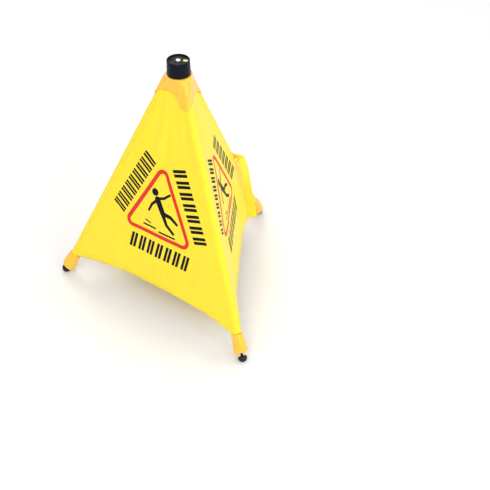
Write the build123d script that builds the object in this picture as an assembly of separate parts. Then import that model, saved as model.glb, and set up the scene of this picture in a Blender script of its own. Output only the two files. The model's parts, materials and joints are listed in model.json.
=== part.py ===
from build123d import *
import os
from math import atan2, cos, degrees, radians, sin

# Three-sided pop-up fabric floor sign. Millimetres, +Z up, origin on the floor under the cap's centre.
# The front leg points along -Y. Each leg is drawn in its radial plane, X outwards, and turned to its azimuth.

# Driving dimensions
HEIGHT = 508.0
LEG_AZIMUTHS = {"front": -90.0, "right": 30.0, "left": 150.0}
PANEL_AZIMUTHS = {"front_left": 210.0, "front_right": -30.0, "back": 90.0}

HINGE_R = 20.5
HINGE_Z = 468.0
LEG_SLOPE = 0.5056
SPLAY = degrees(atan2(LEG_SLOPE, 1.0))
PANEL_TILT = degrees(atan2(LEG_SLOPE / 2, 1.0))

ROD_R = 7.5
ROD_BORE_R = 6.0
ROD_TOP = 16.0
ROD_END = 480.0
RIVET_SINK = 0.3
SLEEVE_OUTER_R = 8.2
SLEEVE_GAP = 0.1
SLEEVE_TOP = 13.0
SLEEVE_END = 467.0

CAP_BOTTOM_Z = 480.6
CAP_RADIUS_BOTTOM = 21.1
CAP_RADIUS_TOP = 20.3
CAP_RIM = 1.8
CAP_RECESS = 2.5
CAP_ROOF_Z = 502.5
CAP_BORE_R = 18.0
CAP_CHAMFER = 0.8
CAP_POCKET_R = 4.5
CAP_POCKET_PLACE_R = 12.5
CAP_POCKET_DEPTH = 0.8
KEY_AZIMUTH = -30.0
KEY_INNER_R = 8.4
KEY_OUTER_R = 17.0
KEY_WIDTH = 5.0
KEY_TOP_Z = 506.6
KEY_CLEARANCE = 0.15

CROWN_WALL = 1.4
CROWN_CLEAR = 0.3
CROWN_TOP_Z = 480.5
CROWN_FLANGE = 1.3
CROWN_EDGE_Z = 451.5
CROWN_FACE_R = 23.2
# Height, radius at the legs and radius between them, down the rounded shoulder
CROWN_SHOULDER = [(480.5, 24.0, 22.8), (479.2, 25.2, 22.95), (476.8, 27.0, 23.1), (472.5, 29.5, 23.2)]
CROWN_SLOPE_Z = (468.0, 461.0, 454.5)
CROWN_TURN = -6.0
CROWN_TILT = 15.0
PETAL_TIP_Z = 430.0
PETAL_HALF_WIDTH = 6.0
PETAL_TIP_FILLET = 5.5
PETAL_SHOULDER_Z = 443.5
PETAL_SHOULDER_HALF = 11.0
PETAL_SHOULDER_FILLET = 12.0
PETAL_ROOT_HALF = 25.0
PETAL_OVERRUN = 16.0
CUT_REACH = 90.0

RING_OUTER_R = 20.8
RING_INNER_R = 14.0
RING_BOTTOM_Z = 476.0
RING_TOP_Z = CROWN_TOP_Z - CROWN_FLANGE
COLLAR_OUTER_R = 17.8
COLLAR_TOP_Z = 488.0
EAR_INNER_Y = 4.9
EAR_OUTER_Y = 7.3
EAR_R = 4.6
EAR_ROOT_R = (12.5, 18.0)
EAR_ROOT_Z = 472.0
EAR_TIP_REACH = 1.5
POST_OUTER_R = 18.0
POST_INNER_R = 10.0
POST_WIDTH = 12.0
WEB_R = 11.0
WEB_BOTTOM_Z = 450.0
WEB_TOP_Z = 454.0

HINGE_PIN_R = 2.0
CRANK_PIN_R = 1.5
RUNNING_CLEARANCE = 0.05
SLOT_CLEARANCE = 0.08
SLOT_TRAVEL = 1.1
SLOT_SHIFT = 0.16
CRANK = 11.5
CRANK_TURN = SPLAY / 2
KNUCKLE_R = 7.2
KNUCKLE_HALF = 4.6
FORK_INNER_Y = 2.3
FORK_END_R = 3.2
FORK_ROOT_R = 5.7
NECK_HALF = 6.6
COLLAR_LENGTH = 3.0
SPIGOT_LENGTH = 24.0
SPIGOT_CLEARANCE = 0.1
RIVET_DEPTH = 12.0

BLADE_HALF = 2.0
BLADE_END_R = 12.5
BLADE_ROOT_R = 3.5
BLADE_DROP = 3.8
PLUNGER_R = 4.5
PLUNGER_BOTTOM_Z = WEB_TOP_Z + 0.3
PLUNGER_TOP_Z = 480.0
FLANGE_R = 9.0
FLANGE_BOTTOM_Z = 470.0
FLANGE_TOP_Z = 472.0

SCREW_R = 2.5
SCREW_HEAD_R = 4.45
SCREW_HEAD_HEIGHT = 2.2
SCREW_HEAD_FILLET = 1.4
SCREW_DRIVE = (3.6, 0.9, 2.0)
SCREW_CLEARANCE = 0.1
WASHER_R = 5.0
WASHER_THICKNESS = 1.0
NUT_FLATS = 8.0
NUT_HEIGHT = 4.0
SCREW_TAIL = 2.0

SPRING_MEAN_R = 6.2
SPRING_WIRE_R = 0.8
SPRING_TURNS = 6.5
SPRING_END_GAP = 0.02

PANEL_THICKNESS = 0.8
PANEL_TOP_Z = 462.0
PANEL_SIDE_GAP = 4.4
HEM_CORNER_V = 504.0
HEM_MIDDLE_V = 485.0

# The boot's sections: radius, height, tilt of its axis, half width across, half width in the radial plane
FOOT_SECTIONS = [
    (230.6, 50.3, 27.0, 10.6, 11.5),
    (239.4, 35.5, 33.0, 12.2, 13.2),
    (250.0, 15.5, 42.0, 14.0, 14.8),
]
FOOT_FILLET = 2.5
SOCKET_RISE = 5.0
STEM_TILT = 38.0
STEM_R = 2.5
STEM_ROOT = 8.0
PAD_SPHERE_R = 8.6
PAD_CENTRE = 10.0
PAD_RISE = 2.0
PAD_RIM_FILLET = 1.0

STRAP_WIDTH = 18.0
STRAP_THICKNESS = 1.8
STRAP_END_R = 7.0
STRAP_SECTIONS = 14
# The strap's middle line in the leg's own frame: outwards, across and down the leg
STRAP_ROUTE = [
    (7.1, -6.1, 288.0),
    (9.1, -13.0, 289.5),
    (8.0, -19.5, 295.0),
    (1.5, -26.5, 305.5),
    (-6.7, -31.0, 323.5),
    (-17.4, -33.5, 345.7),
    (-23.7, -37.6, 382.0),
    (-32.6, -43.3, 410.3),
    (-45.8, -51.9, 427.5),
]
# The way its face points where it hangs, in the same frame
STRAP_FACING = (-0.735, -0.567, 0.371)
STRAP_ROOT_SHARE = 0.12


def turned(shape, azimuth):
    """A shape drawn in a radial plane, turned to its azimuth about the sign's axis."""
    return shape.rotate(Axis.Z, azimuth)


def from_leg(shape):
    """A shape drawn about the hinge with -Z along the leg, splayed and moved to the hinge."""
    return Pos(HINGE_R, 0, HINGE_Z) * (Rot(0, -SPLAY, 0) * shape)


def cylinder_z(radius, bottom, top, x=0.0, y=0.0):
    """An upright cylinder between two heights."""
    return Pos(x, y, (bottom + top) / 2) * Cylinder(radius, top - bottom)


def cylinder_y(radius, half_length, x=0.0, z=0.0):
    """A cylinder across the radial plane."""
    return Pos(x, 0, z) * (Rot(90, 0, 0) * Cylinder(radius, 2 * half_length))


def box_between(low, high):
    """A box from its low corner to its high corner."""
    middle = [(a + b) / 2 for a, b in zip(low, high)]
    return Pos(*middle) * Box(*[b - a for a, b in zip(low, high)])


def axis_r(z):
    """A leg axis's distance from the sign's axis at a height."""
    return HINGE_R + LEG_SLOPE * (HINGE_Z - z)


def crank_pin_place():
    """The crank pin's centre in the leg's own frame."""
    turn = radians(CRANK_TURN)
    return -CRANK * cos(turn), CRANK * sin(turn)


def capsule_plate(x, z, start_r, end_r, y_low, y_high):
    """A plate across the radial plane that tapers from a round about the hinge to a round about (x, z)."""
    outline = make_hull([*Circle(start_r).edges(), *(Pos(x, -z) * Circle(end_r)).edges()])
    plate = extrude(outline, y_high - y_low)
    return Pos(0, y_low, 0) * (Rot(-90, 0, 0) * plate)


def lobed_section(z, ridge, face, wall=0.0):
    """A flat three-lobed section: `ridge` and `face` are its radii at the legs and between them."""
    lobe_r = 2 * (ridge - face)
    radius = ridge - lobe_r - wall
    lobe = Pos(lobe_r, 0) * Circle(radius)
    edges = []
    for azimuth in LEG_AZIMUTHS.values():
        edges += lobe.rotate(Axis.Z, azimuth).edges()
    return Pos(0, 0, z) * make_hull(edges)


def crown_levels():
    """Heights of the crown's sections with their ridge and face radii."""
    lobe = SLEEVE_OUTER_R + CROWN_CLEAR + CROWN_WALL
    levels = list(CROWN_SHOULDER)
    for z in (*CROWN_SLOPE_Z, PETAL_TIP_Z - PETAL_OVERRUN):
        ridge = axis_r(z) + lobe / cos(radians(SPLAY))
        tangent = (ridge - lobe) / 2 + lobe
        levels.append((z, ridge, max(tangent, CROWN_FACE_R)))
    return levels


def askew(shape):
    """A shape tipped down towards +X about the middle of the crown's edge."""
    return Pos(0, 0, CROWN_EDGE_Z) * (Rot(0, CROWN_TILT, 0) * (Pos(0, 0, -CROWN_EDGE_Z) * shape))


def crown_keeps():
    """The spaces that the crown keeps: all above its edge, and a tongue down each leg."""
    side = [
        (PETAL_HALF_WIDTH, PETAL_TIP_Z),
        (PETAL_SHOULDER_HALF, PETAL_SHOULDER_Z),
        (PETAL_ROOT_HALF, CROWN_EDGE_Z),
        (PETAL_ROOT_HALF, CROWN_TOP_Z),
    ]
    outline = make_face(Polyline(*side, *[(-x, z) for x, z in reversed(side)], close=True))
    outline = fillet(outline.vertices().group_by(Axis.Y)[0], PETAL_TIP_FILLET)
    shoulders = [v for v in outline.vertices() if abs(v.Y - PETAL_SHOULDER_Z) < 0.01]
    outline = fillet(shoulders, PETAL_SHOULDER_FILLET)
    tongue = Rot(0, 0, 90) * (Rot(90, 0, 0) * extrude(outline, CUT_REACH))
    keeps = [cylinder_z(CUT_REACH, CROWN_EDGE_Z, HEIGHT)]
    keeps += [turned(tongue, azimuth + CROWN_TURN) for azimuth in LEG_AZIMUTHS.values()]
    return [askew(keep) for keep in keeps]


def crown_skirt():
    levels = crown_levels()
    outer = loft([lobed_section(*level) for level in levels], ruled=True)
    inner_levels = [(levels[0][0] - CROWN_FLANGE, *levels[0][1:])] + levels[1:]
    inner = loft([lobed_section(*level, wall=CROWN_WALL) for level in inner_levels], ruled=True)
    shell = outer - inner
    bell, *tongues = [shell & keep for keep in crown_keeps()]
    skirt = bell + tongues
    skirt -= cylinder_z(COLLAR_OUTER_R, CROWN_TOP_Z - 5, CROWN_TOP_Z + 5)
    return skirt


def hub_body():
    ring = cylinder_z(RING_OUTER_R, RING_BOTTOM_Z, RING_TOP_Z)
    collar = cylinder_z(COLLAR_OUTER_R, RING_BOTTOM_Z, COLLAR_TOP_Z)
    body = ring + collar - cylinder_z(RING_INNER_R, RING_BOTTOM_Z - 1, COLLAR_TOP_Z + 1)
    body += cylinder_z(WEB_R, WEB_BOTTOM_Z, WEB_TOP_Z)
    post_half = POST_WIDTH / 2
    post = box_between((POST_INNER_R, -post_half, WEB_BOTTOM_Z), (POST_OUTER_R, post_half, RING_BOTTOM_Z))
    post &= cylinder_z(POST_OUTER_R, WEB_BOTTOM_Z, RING_BOTTOM_Z)
    for azimuth in PANEL_AZIMUTHS.values():
        body += turned(post, azimuth)
    for azimuth in LEG_AZIMUTHS.values():
        for side in (-1, 1):
            body += turned(hinge_ear(side), azimuth)
    return body - cylinder_z(SCREW_R, WEB_BOTTOM_Z - 1, WEB_TOP_Z + 1)


def hinge_ear(side):
    """One ear of a leg's clevis, hanging from the ring."""
    y_low = min(side * EAR_INNER_Y, side * EAR_OUTER_Y)
    y_high = max(side * EAR_INNER_Y, side * EAR_OUTER_Y)
    root_in, root_out = EAR_ROOT_R
    root = box_between((root_in, y_low, EAR_ROOT_Z), (root_out, y_high, RING_BOTTOM_Z + 0.5))
    tip_out = HINGE_R + EAR_TIP_REACH
    tip = box_between((HINGE_R - EAR_R, y_low, HINGE_Z), (tip_out, y_high, RING_BOTTOM_Z - 1.5))
    ear = root + tip + cylinder_y(EAR_R, EAR_OUTER_Y, HINGE_R, HINGE_Z)
    ear &= box_between((0, y_low, 0), (CUT_REACH, y_high, HEIGHT))
    return ear - cylinder_y(HINGE_PIN_R, EAR_OUTER_Y + 1, HINGE_R, HINGE_Z)


def top_cap():
    rim_in = CAP_RADIUS_TOP - CAP_RIM
    floor_z = HEIGHT - CAP_RECESS
    outline = [
        (CAP_BORE_R, CAP_BOTTOM_Z),
        (CAP_RADIUS_BOTTOM, CAP_BOTTOM_Z),
        (CAP_RADIUS_TOP, HEIGHT - CAP_CHAMFER),
        (CAP_RADIUS_TOP - CAP_CHAMFER, HEIGHT),
        (rim_in, HEIGHT),
        (rim_in - CAP_CHAMFER, floor_z),
        (SCREW_R, floor_z),
        (SCREW_R, CAP_ROOF_Z),
        (CAP_BORE_R, CAP_ROOF_Z),
    ]
    cap = revolve(Plane.XZ * make_face(Polyline(*outline, close=True)), Axis.Z)
    pocket = cylinder_z(CAP_POCKET_R, floor_z - CAP_POCKET_DEPTH, HEIGHT, x=CAP_POCKET_PLACE_R)
    return cap - key_shape(CAP_ROOF_Z - 1, HEIGHT + 1, KEY_CLEARANCE) - turned(pocket, KEY_AZIMUTH + 180)


def key_shape(bottom, top, clearance=0.0):
    """The upright key's slot-shaped bar, turned to its azimuth."""
    middle = (KEY_INNER_R + KEY_OUTER_R) / 2
    length = KEY_OUTER_R - KEY_INNER_R + 2 * clearance
    outline = SlotOverall(length, KEY_WIDTH + 2 * clearance)
    bar = Pos(middle, 0, bottom) * extrude(outline, top - bottom)
    return turned(bar, KEY_AZIMUTH)


def guide_screw():
    head_z = HEIGHT - CAP_RECESS
    tail_z = WEB_BOTTOM_Z - WASHER_THICKNESS - NUT_HEIGHT - SCREW_TAIL
    head = cylinder_z(SCREW_HEAD_R, head_z, head_z + SCREW_HEAD_HEIGHT)
    head = fillet(head.edges().group_by(Axis.Z)[-1], SCREW_HEAD_FILLET)
    bar = Box(*SCREW_DRIVE)
    drive = bar + bar.rotate(Axis.Z, 90)
    return head + cylinder_z(SCREW_R, tail_z, head_z) - Pos(0, 0, head_z + SCREW_HEAD_HEIGHT) * drive


def lock_nut():
    bottom = WEB_BOTTOM_Z - WASHER_THICKNESS - NUT_HEIGHT
    blank = Pos(0, 0, bottom) * extrude(RegularPolygon(NUT_FLATS / 2, 6, major_radius=False), NUT_HEIGHT)
    return blank - cylinder_z(SCREW_R, bottom - 1, WEB_BOTTOM_Z)


def web_washer():
    bottom = WEB_BOTTOM_Z - WASHER_THICKNESS
    return cylinder_z(WASHER_R, bottom, WEB_BOTTOM_Z) - cylinder_z(SCREW_R, bottom - 1, WEB_BOTTOM_Z + 1)


def main_spring():
    bottom = FLANGE_TOP_Z + SPRING_WIRE_R + SPRING_END_GAP
    height = CAP_ROOF_Z - SPRING_WIRE_R - SPRING_END_GAP - bottom
    route = Pos(0, 0, bottom) * Helix(height / SPRING_TURNS, height, SPRING_MEAN_R)
    return sweep(Plane(route @ 0, z_dir=route % 0) * Circle(SPRING_WIRE_R), route, is_frenet=True)


def plunger():
    crank_z = HINGE_Z - CRANK * sin(radians(CRANK_TURN))
    slot_half = CRANK_PIN_R + SLOT_CLEARANCE
    body = cylinder_z(PLUNGER_R, PLUNGER_BOTTOM_Z, PLUNGER_TOP_Z)
    body += cylinder_z(FLANGE_R, FLANGE_BOTTOM_Z, FLANGE_TOP_Z)
    blade_low = (BLADE_ROOT_R, -BLADE_HALF, crank_z - BLADE_DROP)
    blade = box_between(blade_low, (BLADE_END_R, BLADE_HALF, FLANGE_BOTTOM_Z))
    root_low = (BLADE_ROOT_R, -BLADE_HALF, FLANGE_BOTTOM_Z - 0.1)
    blade += box_between(root_low, (FLANGE_R - 0.5, BLADE_HALF, FLANGE_BOTTOM_Z + 0.5))
    slot = extrude(SlotOverall(2 * slot_half + SLOT_TRAVEL, 2 * slot_half), BLADE_HALF + 1, both=True)
    slot = Pos(HINGE_R - CRANK + SLOT_SHIFT, 0, crank_z) * (Rot(90, 0, 0) * slot)
    for azimuth in LEG_AZIMUTHS.values():
        body += turned(blade - slot, azimuth)
    return body - cylinder_z(SCREW_R + SCREW_CLEARANCE, PLUNGER_BOTTOM_Z - 1, PLUNGER_TOP_Z + 1)


def leg_head():
    x, z = crank_pin_place()
    collar_top = COLLAR_LENGTH - ROD_TOP
    head = cylinder_y(KNUCKLE_R, KNUCKLE_HALF)
    head += box_between((-NECK_HALF, -KNUCKLE_HALF, collar_top), (NECK_HALF, KNUCKLE_HALF, 0))
    head += cylinder_z(ROD_R - SPIGOT_CLEARANCE, -ROD_TOP, collar_top)
    head += cylinder_z(ROD_BORE_R, -ROD_TOP - SPIGOT_LENGTH, -ROD_TOP)
    for low, high in ((-KNUCKLE_HALF, -FORK_INNER_Y), (FORK_INNER_Y, KNUCKLE_HALF)):
        head += capsule_plate(x, z, FORK_ROOT_R, FORK_END_R, low, high)
    head -= cylinder_y(HINGE_PIN_R + RUNNING_CLEARANCE, KNUCKLE_HALF + 1)
    head -= cylinder_y(CRANK_PIN_R, KNUCKLE_HALF + 1, x, z)
    head -= cylinder_y(CRANK_PIN_R, ROD_R + 1, z=rivet_z())
    return from_leg(head)


def rivet_z():
    return -ROD_TOP - RIVET_DEPTH


def crank_pin():
    x, z = crank_pin_place()
    return from_leg(cylinder_y(CRANK_PIN_R, KNUCKLE_HALF, x, z))


def leg_rivet():
    return from_leg(cylinder_y(CRANK_PIN_R, ROD_R - RIVET_SINK, z=rivet_z()))


def leg_rod():
    tube = cylinder_z(ROD_R, -ROD_END, -ROD_TOP) - cylinder_z(ROD_BORE_R, -ROD_END - 1, -ROD_TOP + 1)
    return from_leg(tube - cylinder_y(CRANK_PIN_R, ROD_R + 1, z=rivet_z()))


def leg_sleeve():
    tube = cylinder_z(SLEEVE_OUTER_R, -SLEEVE_END, -SLEEVE_TOP)
    return from_leg(tube - cylinder_z(ROD_R + SLEEVE_GAP, -SLEEVE_END - 1, -SLEEVE_TOP + 1))


def foot_moulding():
    """A stubby boot that kinks outwards from the leg's line."""
    sections = []
    for r, z, tilt, half_across, half_radial in FOOT_SECTIONS:
        sine, cosine = sin(radians(tilt)), cos(radians(tilt))
        plane = Plane((r, 0, z), x_dir=(cosine, 0, sine), z_dir=(sine, 0, -cosine))
        sections.append(plane * Ellipse(half_radial, half_across))
    boot = loft(sections)
    boot = fillet(boot.faces().filter_by(GeomType.PLANE).edges(), FOOT_FILLET)
    boot -= from_leg(cylinder_z(ROD_R, -ROD_END, -SLEEVE_END + SOCKET_RISE))
    return boot - on_stem(cylinder_z(STEM_R, -PAD_CENTRE, STEM_ROOT))


def on_stem(shape):
    """A shape drawn with -Z along the foot's stem, moved to the stem's root."""
    root_r, root_z = FOOT_SECTIONS[-1][:2]
    return Pos(root_r, 0, root_z) * (Rot(0, -STEM_TILT, 0) * shape)


def foot_stem():
    """The stud from inside the boot to inside the pad."""
    return on_stem(cylinder_z(STEM_R, -PAD_CENTRE, STEM_ROOT))


def foot_pad():
    """A rubber bowl on the stud, cut flat where it meets the floor."""
    top = PAD_RISE - PAD_CENTRE
    bowl = Pos(0, 0, -PAD_CENTRE) * Sphere(PAD_SPHERE_R) - cylinder_z(CUT_REACH, top, CUT_REACH)
    bowl = fillet(bowl.faces().sort_by(Axis.Z)[-1].edges(), PAD_RIM_FILLET)
    bowl = on_stem(bowl - cylinder_z(STEM_R, -PAD_CENTRE, 0))
    return bowl - box_between((0, -CUT_REACH, -CUT_REACH), (HEIGHT, CUT_REACH, 0))


def carry_strap():
    """Flat webbing, sewn to the sleeve at its top, that bows out and hangs to a rounded end."""
    route = Spline(*[(out, across, -along) for out, across, along in STRAP_ROUTE])
    up_leg, facing = Vector(0, 0, 1), Vector(*STRAP_FACING)
    sections = []
    for index in range(STRAP_SECTIONS + 1):
        share = index / STRAP_SECTIONS
        turn = min(1.0, share / STRAP_ROOT_SHARE)
        tangent = route % share
        width = up_leg * (1 - turn) + facing.cross(tangent) * turn
        width -= tangent * width.dot(tangent)
        plane = Plane(route @ share, x_dir=width, z_dir=tangent)
        sections.append(plane * Rectangle(STRAP_WIDTH, STRAP_THICKNESS))
    ribbon = loft(sections)
    lower_end = ribbon.faces().filter_by(GeomType.PLANE).sort_by(Axis.Z)[0]
    corners = [edge for edge in lower_end.edges() if edge.length < 2 * STRAP_THICKNESS]
    return from_leg(fillet(corners, STRAP_END_R))


def panel_frame(v):
    """A point of the panel's outer plane on its mid line, v down the slope from the apex."""
    tilt = radians(PANEL_TILT)
    apex_z = HINGE_Z + HINGE_R / LEG_SLOPE + SLEEVE_OUTER_R / sin(tilt)
    return v * sin(tilt), apex_z - v * cos(tilt)


def sleeve_line(v):
    """Half the distance between the sleeves' lines of contact with a panel's outer plane."""
    tilt = radians(PANEL_TILT)
    height = panel_frame(v)[1] - SLEEVE_OUTER_R * sin(tilt)
    return axis_r(height) * sin(radians(60))


def fabric_panel():
    """A flat panel between two sleeves, with its hem arched up in the middle."""
    tilt = radians(PANEL_TILT)
    top_v = (panel_frame(0)[1] - PANEL_TOP_Z) / cos(tilt)
    top_w = sleeve_line(top_v) - PANEL_SIDE_GAP
    corner_w = sleeve_line(HEM_CORNER_V) - PANEL_SIDE_GAP
    sides = Polyline((-corner_w, HEM_CORNER_V), (-top_w, top_v), (top_w, top_v), (corner_w, HEM_CORNER_V))
    hem = ThreePointArc((corner_w, HEM_CORNER_V), (0, HEM_MIDDLE_V), (-corner_w, HEM_CORNER_V))
    outline = make_face(sides + hem)
    inward = (-cos(tilt), 0, -sin(tilt))
    plane = Plane(origin=(0, 0, panel_frame(0)[1]), x_dir=(0, 1, 0), z_dir=inward)
    return plane * extrude(outline, PANEL_THICKNESS)


def hinge_pins():
    pin = cylinder_y(HINGE_PIN_R, EAR_OUTER_Y, HINGE_R, HINGE_Z)
    return Compound([turned(pin, azimuth) for azimuth in LEG_AZIMUTHS.values()])


def main():
    nodes = {
        "hub_body": hub_body(),
        "crown_skirt": crown_skirt(),
        "top_cap": top_cap(),
        "locating_key": key_shape(COLLAR_TOP_Z, KEY_TOP_Z),
        "guide_screw": guide_screw(),
        "web_washer": web_washer(),
        "lock_nut": lock_nut(),
        "hinge_pins": hinge_pins(),
        "main_spring": main_spring(),
        "plunger": plunger(),
    }
    leg_parts = {
        "leg_head": leg_head(),
        "crank_pin": crank_pin(),
        "leg_rivet": leg_rivet(),
        "leg_rod": leg_rod(),
        "leg_sleeve": leg_sleeve(),
        "foot_moulding": foot_moulding(),
        "foot_stem": foot_stem(),
        "foot_pad": foot_pad(),
    }
    for side, azimuth in LEG_AZIMUTHS.items():
        for name, shape in leg_parts.items():
            nodes[f"{name}_{side}"] = turned(shape, azimuth)
    nodes["carry_strap"] = turned(carry_strap(), LEG_AZIMUTHS["right"])
    panel = fabric_panel()
    for side, azimuth in PANEL_AZIMUTHS.items():
        nodes[f"fabric_panel_{side}"] = turned(panel, azimuth)
    os.makedirs("parts", exist_ok=True)
    for name, shape in nodes.items():
        export_step(shape, f"parts/{name}.step")


main()
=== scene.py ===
import json
import math

import bpy
import numpy as np
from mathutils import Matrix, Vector
from mathutils.geometry import delaunay_2d_cdt


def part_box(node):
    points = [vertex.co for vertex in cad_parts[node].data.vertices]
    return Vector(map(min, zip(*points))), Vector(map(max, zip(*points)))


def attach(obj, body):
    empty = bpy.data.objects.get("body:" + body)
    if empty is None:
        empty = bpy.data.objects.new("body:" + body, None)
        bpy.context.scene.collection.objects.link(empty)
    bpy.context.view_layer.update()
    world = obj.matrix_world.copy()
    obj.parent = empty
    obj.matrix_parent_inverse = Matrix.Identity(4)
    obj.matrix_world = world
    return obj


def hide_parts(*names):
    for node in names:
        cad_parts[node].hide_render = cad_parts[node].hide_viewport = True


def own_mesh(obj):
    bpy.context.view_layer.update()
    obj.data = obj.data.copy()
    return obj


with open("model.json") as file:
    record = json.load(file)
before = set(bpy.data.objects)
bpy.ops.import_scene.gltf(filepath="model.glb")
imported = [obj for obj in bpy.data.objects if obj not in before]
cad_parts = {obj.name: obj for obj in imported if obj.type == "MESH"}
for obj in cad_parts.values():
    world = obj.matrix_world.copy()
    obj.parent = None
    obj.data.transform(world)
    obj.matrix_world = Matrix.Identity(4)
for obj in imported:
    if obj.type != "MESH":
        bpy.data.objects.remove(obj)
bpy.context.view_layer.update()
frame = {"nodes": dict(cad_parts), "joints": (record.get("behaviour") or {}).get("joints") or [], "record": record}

# A three-sided pop-up fabric floor sign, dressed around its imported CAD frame. Metres throughout.
MM = 0.001

# Cloth
CLOTH_THICKNESS = 0.5 * MM
MESH_STEP = 6.0 * MM
HEM_DROP = 3.2 * MM
HEM_POWER = 2.6
HEM_MIDDLE_SHARE = 0.15
HEM_DEPTH = 9.0 * MM
HEM_STEP = 0.7 * MM
FOLD_THICKNESS = 0.45 * MM
SEAM_LAP = 1.2 * MM
STITCH_INSET = 5.0 * MM
STITCH_PITCH = 3.4 * MM
STITCH_LENGTH = 2.5 * MM
STITCH_WIDTH = 0.55 * MM
# A stitch's cross-sections: share of its length, then width and lift in shares of its width
STITCH_SECTIONS = [(-0.5, 0.35, -0.1), (-0.3, 0.9, 0.35), (0.3, 0.9, 0.35), (0.5, 0.35, -0.1)]
HEM_STITCH_INSET = 7.0 * MM
SEAM_STITCH_ENDS = (20.0 * MM, 6.0 * MM)
HEM_POINTS = 70
WEAVE_SCALE = 0.155 / (0.9 * MM)

# Each panel: the legs it joins, how far its middle is drawn in, and its soft folds' height and phase
PANELS = {
    "front_left": ("left", "front", 6.0 * MM, 1.2 * MM, 0.4),
    "front_right": ("front", "right", 17.0 * MM, 2.4 * MM, 1.9),
    "back": ("right", "left", 10.0 * MM, 1.6 * MM, 3.1),
}
LEG_SIDES = ("front", "right", "left")
# How the drawing in grows from seam to middle, and from crown to hem
BOW_ACROSS_POWER = 1.1
BOW_DOWN_POWER = 1.7
BOW_DOWN_LIMIT = 1.15
# Lengths over which the soft folds turn, at the top and what is added by the hem
FOLD_LENGTH = (11 * MM, 24 * MM)
RIPPLE_LENGTH = (7 * MM, 9 * MM)
RIPPLE_SHARE = 0.35
# The folds swell down the cloth as a sine between these angles
FOLD_START = 0.4
FOLD_SWELL = 1.6
CREASE_WIDTH = (4.5 * MM, 6 * MM)
# Soft creases that run down from the crown: share of the seam's width, start, end, lean and depth
CREASES = [
    (-0.62, 0.088, 0.235, -0.16, 3.2 * MM),
    (-0.10, 0.092, 0.270, 0.03, 3.4 * MM),
    (0.34, 0.090, 0.210, 0.14, 3.2 * MM),
    (0.74, 0.095, 0.260, 0.30, 2.4 * MM),
    (-0.80, 0.330, 0.505, 0.20, 1.8 * MM),
    (0.82, 0.340, 0.505, -0.20, 1.8 * MM),
]


# ---------------------------------------------------------------- frame geometry


def vertices(node):
    """A CAD node's vertices as an array."""
    return np.array([v.co[:] for v in frame["nodes"][node].data.vertices])


class Leg:
    """A leg's hinge, the line of its rod and the size of its sleeve."""

    def __init__(self, side):
        joint = next(j for j in frame["joints"] if j["name"] == f"leg_{side}_fold")
        self.side = side
        self.hinge = Vector(joint["pos_m"])
        self.across = Vector(joint["axis"]).normalized()
        self.down = (Vector(vertices(f"leg_rod_{side}").mean(0)) - self.hinge).normalized()
        self.out = self.across.cross(self.down).normalized()
        if self.out.dot(Vector((self.hinge.x, self.hinge.y, 0))) < 0:
            self.out.negate()
        offsets = vertices(f"leg_sleeve_{side}") - np.array(self.hinge)
        along = offsets @ np.array(self.down)
        self.sleeve_top, self.sleeve_end = along.min(), along.max()
        self.sleeve_r = np.linalg.norm(offsets - np.outer(along, self.down), axis=1).max()

    def turned(self, outwards, across, down):
        """A vector given in the leg's own frame."""
        return self.out * outwards + self.across * across + self.down * down

    def point(self, along, reach=0.0, turn=0.0):
        """A point beside the leg: `reach` from its axis, turned from outwards towards `across`."""
        direction = self.out * math.cos(turn) + self.across * math.sin(turn)
        return self.hinge + self.down * along + direction * reach


LEGS = {side: Leg(side) for side in LEG_SIDES}


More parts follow.
